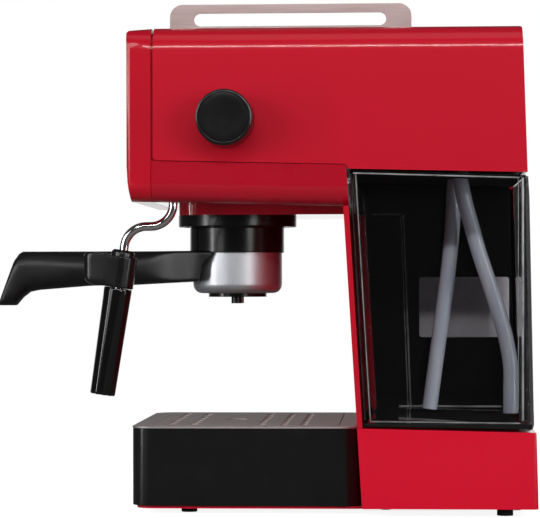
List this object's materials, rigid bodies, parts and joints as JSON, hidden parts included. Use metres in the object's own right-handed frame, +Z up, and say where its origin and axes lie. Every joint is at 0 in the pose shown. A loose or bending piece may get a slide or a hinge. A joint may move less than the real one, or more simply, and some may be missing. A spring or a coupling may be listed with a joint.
{
  "type": "espresso machine",
  "caption": "Compact pump espresso machine with a head over a drip tray, bayonet portafilter, steam wand and a side-loading water tank.",
  "frame": {"origin": "on the table plane, on the machine's middle plane, half way between the drip tray's front and the base's back", "axes": "+Z up, -Y towards the front where the portafilter handle points, +X towards the machine's right side as seen from its front, where the steam knob is"},
  "size_m": [0.225, 0.3473, 0.3178],
  "materials": {
    "red_plastic": "moulded, satin gloss",
    "red_paint": "painted sheet, fine sparkle",
    "black_plastic": "satin moulded",
    "gloss_black": "polished",
    "foot_rubber": "matt",
    "label_film": "plain film, blank",
    "brushed_steel": "brushed along the sheet",
    "chrome": "polished",
    "zinc": "plated",
    "cast_aluminium": "cast",
    "silver_cup": "satin silver",
    "silicone_seal": "matt",
    "silicone_hose": "translucent",
    "smoke_tank": "clear smoke tint",
    "brass": "machined",
    "copper": "drawn tube",
    "pump_coil": "coil frame",
    "white_plastic": "moulded",
    "lens_amber": "clear amber",
    "circuit_board": "laminate"
  },
  "bodies": {
    "machine": {"base_housing": "red_plastic", "base_plate": "black_plastic", "rubber_feet": "foot_rubber", "column_shell": "red_plastic", "bay_liner": "black_plastic", "rating_label": "label_film", "head_floor": "red_plastic", "front_fascia": "red_plastic", "top_cover": "red_paint", "cup_rail": "brushed_steel", "control_plate": "brushed_steel", "indicator_lenses": "lens_amber", "group_collar": "black_plastic", "group_gasket": "silicone_seal", "shower_screen": "brushed_steel", "screen_screw": "chrome", "boiler_lower": "cast_aluminium", "boiler_gasket": "silicone_seal", "boiler_upper": "cast_aluminium", "boiler_bolts": "zinc", "thermostats": "white_plastic", "heater_terminals": "zinc", "steam_valve_body": "brass", "steam_feed_pipe": "copper", "steam_outlet_tube": "copper", "wand_bush": "chrome", "pump_coil": "pump_coil", "pump_ends": "white_plastic", "pump_mounts": "foot_rubber", "relief_valve": "brass", "pressure_hose": "silicone_hose", "suction_hose": "silicone_hose", "return_hose": "silicone_hose", "hose_grommets": "foot_rubber", "switch_block": "black_plastic", "control_board": "circuit_board", "cord_gland": "black_plastic", "case_screws": "zinc"},
    "portafilter": {"portafilter_ring": "black_plastic", "portafilter_cup": "silver_cup", "portafilter_handle": "black_plastic", "handle_cap": "black_plastic", "handle_stud": "chrome", "filter_basket": "brushed_steel", "spout_disc": "black_plastic"},
    "steam_control": {"steam_knob": "black_plastic", "knob_cap": "black_plastic", "valve_stem": "chrome"},
    "steam_wand": {"steam_pipe": "chrome", "wand_grip": "black_plastic", "steam_nozzle": "chrome"},
    "frother": {"frother_sleeve": "gloss_black"},
    "tray": {"drip_tray": "black_plastic", "tray_rim": "brushed_steel"},
    "grid": {"drip_grid": "brushed_steel"},
    "tank": {"water_tank": "smoke_tank"},
    "power_key": {"power_button": "white_plastic"},
    "brew_key": {"brew_button": "white_plastic"},
    "steam_key": {"steam_button": "white_plastic"}
  },
  "joints": [
    {"name": "portafilter_turn", "type": "hinge", "parent": "machine", "child": "portafilter", "pos_m": [0, -0.0653, 0.17], "axis": [0, 0, 1], "range_deg": [-50, 0]},
    {"name": "steam_knob_turn", "type": "hinge", "parent": "machine", "child": "steam_control", "pos_m": [0.11, -0.0653, 0.2446], "axis": [1, 0, 0], "range_deg": [0, 270]},
    {"name": "steam_wand_swivel", "type": "hinge", "parent": "machine", "child": "steam_wand", "pos_m": [0.074, -0.1007, 0.2], "axis": [0, 0, 1], "range_deg": [-20, 75]},
    {"name": "frother_sleeve_pull", "type": "slide", "parent": "steam_wand", "child": "frother", "axis": [0, -0.1483, -0.9889], "range_m": [0, 0.06]},
    {"name": "drip_tray_slide", "type": "slide", "parent": "machine", "child": "tray", "axis": [0, -1, 0], "range_m": [0, 0.16]},
    {"name": "drip_grid_lift", "type": "slide", "parent": "tray", "child": "grid", "axis": [0, 0, 1], "range_m": [0, 0.05]},
    {"name": "water_tank_slide", "type": "slide", "parent": "machine", "child": "tank", "axis": [1, 0, 0], "range_m": [0, 0.19], "deforming": ["suction_hose", "return_hose"]},
    {"name": "power_button_press", "type": "slide", "parent": "machine", "child": "power_key", "axis": [0, 1, 0], "range_m": [0, 0.0025], "stiffness_N_per_m": 400, "springref_m": -0.001},
    {"name": "brew_button_press", "type": "slide", "parent": "machine", "child": "brew_key", "axis": [0, 1, 0], "range_m": [0, 0.0025], "stiffness_N_per_m": 400, "springref_m": -0.001},
    {"name": "steam_button_press", "type": "slide", "parent": "machine", "child": "steam_key", "axis": [0, 1, 0], "range_m": [0, 0.0025], "stiffness_N_per_m": 400, "springref_m": -0.001}
  ]
}
